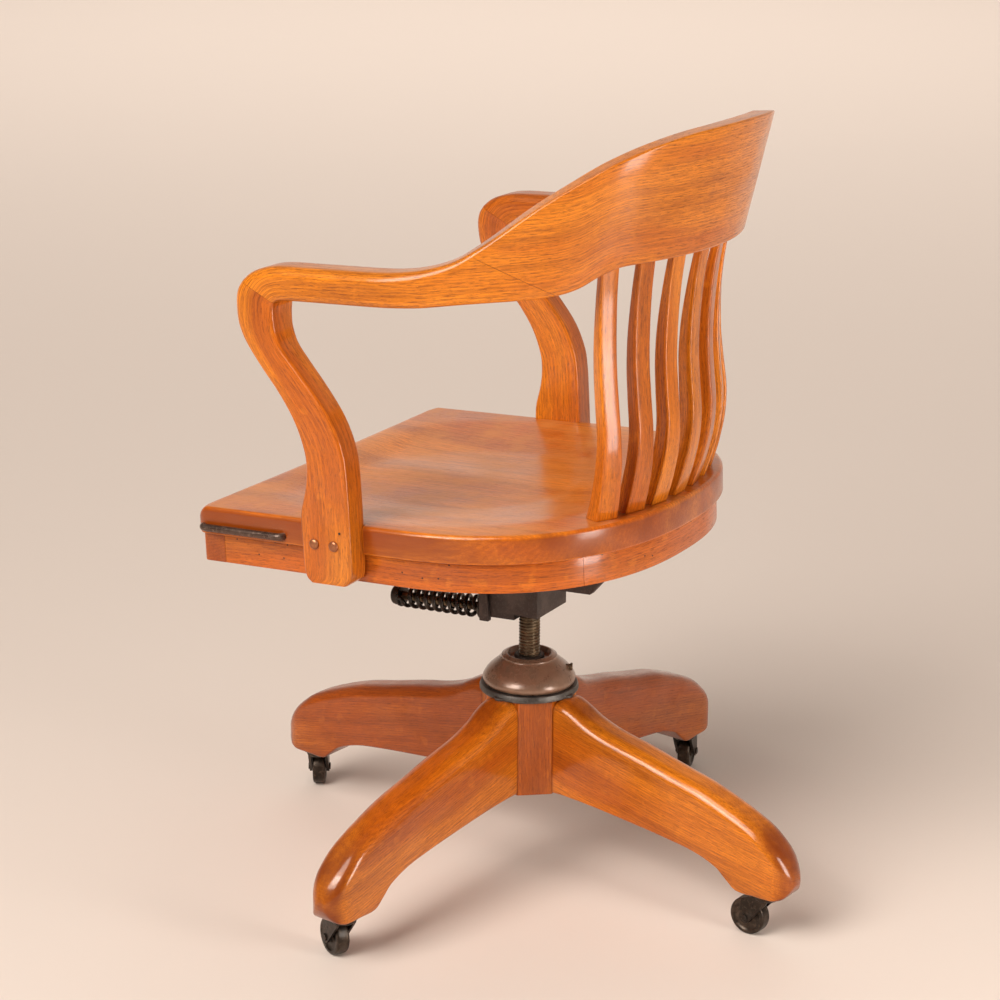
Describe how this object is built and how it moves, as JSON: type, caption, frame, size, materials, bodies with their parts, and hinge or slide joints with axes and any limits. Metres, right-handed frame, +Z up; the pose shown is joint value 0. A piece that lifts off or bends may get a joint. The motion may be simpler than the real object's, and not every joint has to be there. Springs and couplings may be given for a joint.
{
  "type": "swivel chair",
  "caption": "Wooden swivel armchair: dished seat, bowed crest rail on bent slats, curved arm posts, sprung tilt under the seat, screw spindle and a legged base on casters.",
  "frame": {"origin": "on the floor under the column axis, which is the middle of the base", "axes": "+Z up, -Y the way the sitter faces, +X to the sitter's left"},
  "size_m": [0.7152, 0.712, 0.8702],
  "materials": {
    "oak_frame": "varnished oak, satin",
    "oak_arms": "varnished oak, golden, satin",
    "oak_seat": "varnished oak, worn browner",
    "oak_base": "varnished oak, redder, glossy edges",
    "iron": "dark brown iron, worn",
    "steel": "dark oiled steel, brassy on the thread",
    "bronze": "bronze-brown paint, soft gloss",
    "copper": "dull copper-brown screw heads"
  },
  "bodies": {
    "base": {"leg_1": "oak_base", "leg_2": "oak_base", "leg_3": "oak_base", "leg_4": "oak_base", "hub_block": "oak_base", "hub_tube": "steel", "hub_plate": "iron", "base_flange": "iron", "caster_plate_1": "iron", "caster_plate_2": "iron", "caster_plate_3": "iron", "caster_plate_4": "iron"},
    "horn_1": {"caster_horn_1": "iron"},
    "horn_2": {"caster_horn_2": "iron"},
    "horn_3": {"caster_horn_3": "iron"},
    "horn_4": {"caster_horn_4": "iron"},
    "wheel_1": {"caster_wheel_1": "iron"},
    "wheel_2": {"caster_wheel_2": "iron"},
    "wheel_3": {"caster_wheel_3": "iron"},
    "wheel_4": {"caster_wheel_4": "iron"},
    "dome": {"dome_nut": "bronze", "set_screw": "steel"},
    "collar": {"spindle_collar": "iron"},
    "column": {"spindle": "steel", "yoke": "iron", "spring_bolt": "steel", "spring_cap": "iron", "spring_nut": "iron", "tilt_spring": "iron"},
    "follower": {"spring_washer": "iron"},
    "seat": {"seat_board": "oak_seat", "front_rail": "oak_frame", "side_rail_left": "oak_frame", "side_rail_right": "oak_frame", "back_rail": "oak_frame", "front_batten": "oak_frame", "rear_batten": "oak_frame", "slat_1": "oak_frame", "slat_2": "oak_frame", "slat_3": "oak_frame", "slat_4": "oak_frame", "slat_5": "oak_frame", "slat_6": "oak_frame", "slat_7": "oak_frame", "crest_rail": "oak_arms", "arm_left": "oak_arms", "arm_right": "oak_arms", "post_left": "oak_frame", "post_right": "oak_frame", "post_screw_left_1": "copper", "post_screw_left_2": "copper", "post_screw_right_1": "copper", "post_screw_right_2": "copper", "edge_rod": "bronze", "seat_iron_left": "iron", "seat_iron_right": "iron", "seat_iron_fork": "iron", "iron_screw_left": "steel", "iron_screw_right": "steel", "tilt_shaft": "steel"}
  },
  "joints": [
    {"name": "caster_swivel_1", "type": "hinge", "parent": "base", "child": "horn_1", "pos_m": [0.31811, -0.04301, 0.05], "axis": [0, 0, 1], "continuous": true},
    {"name": "wheel_roll_1", "type": "hinge", "parent": "horn_1", "child": "wheel_1", "pos_m": [0.30872, -0.06067, 0.021], "axis": [0.8829, -0.4695, 0], "continuous": true},
    {"name": "caster_swivel_2", "type": "hinge", "parent": "base", "child": "horn_2", "pos_m": [0.04301, 0.31811, 0.05], "axis": [0, 0, 1], "continuous": true},
    {"name": "wheel_roll_2", "type": "hinge", "parent": "horn_2", "child": "wheel_2", "pos_m": [0.04033, 0.29829, 0.021], "axis": [0.991, -0.134, 0], "continuous": true},
    {"name": "caster_swivel_3", "type": "hinge", "parent": "base", "child": "horn_3", "pos_m": [-0.31811, 0.04301, 0.05], "axis": [0, 0, 1], "continuous": true},
    {"name": "wheel_roll_3", "type": "hinge", "parent": "horn_3", "child": "wheel_3", "pos_m": [-0.33759, 0.03851, 0.021], "axis": [0.225, -0.9744, 0], "continuous": true},
    {"name": "caster_swivel_4", "type": "hinge", "parent": "base", "child": "horn_4", "pos_m": [-0.04301, -0.31811, 0.05], "axis": [0, 0, 1], "continuous": true},
    {"name": "wheel_roll_4", "type": "hinge", "parent": "horn_4", "child": "wheel_4", "pos_m": [-0.06033, -0.32811, 0.021], "axis": [0.5, -0.866, 0], "continuous": true},
    {"name": "swivel", "type": "hinge", "parent": "base", "child": "dome", "pos_m": [0, 0, 0.22], "axis": [0, 0, 1], "continuous": true},
    {"name": "screw_turn", "type": "hinge", "parent": "dome", "child": "collar", "pos_m": [0, 0, 0.25], "axis": [0, 0, 1], "range_deg": [-3240, 5760]},
    {"name": "height", "type": "slide", "parent": "dome", "child": "column", "axis": [0, 0, 1], "range_m": [-0.0324, 0.0576]},
    {"name": "tilt", "type": "hinge", "parent": "column", "child": "seat", "pos_m": [0, -0.0408, 0.3539], "axis": [-1, 0, 0], "range_deg": [0, 15], "stiffness_Nm_per_rad": 150, "springref_deg": -11.46},
    {"name": "spring_push", "type": "slide", "parent": "column", "child": "follower", "axis": [0, -0.9988, -0.0497], "range_m": [0, 0.0184], "deforming": ["tilt_spring"]}
  ],
  "couplings": [
    {"joint": "screw_turn", "follows": "height", "rad_per_m": 1745.3},
    {"joint": "spring_push", "follows": "tilt", "m_per_rad": 0.0695}
  ]
}
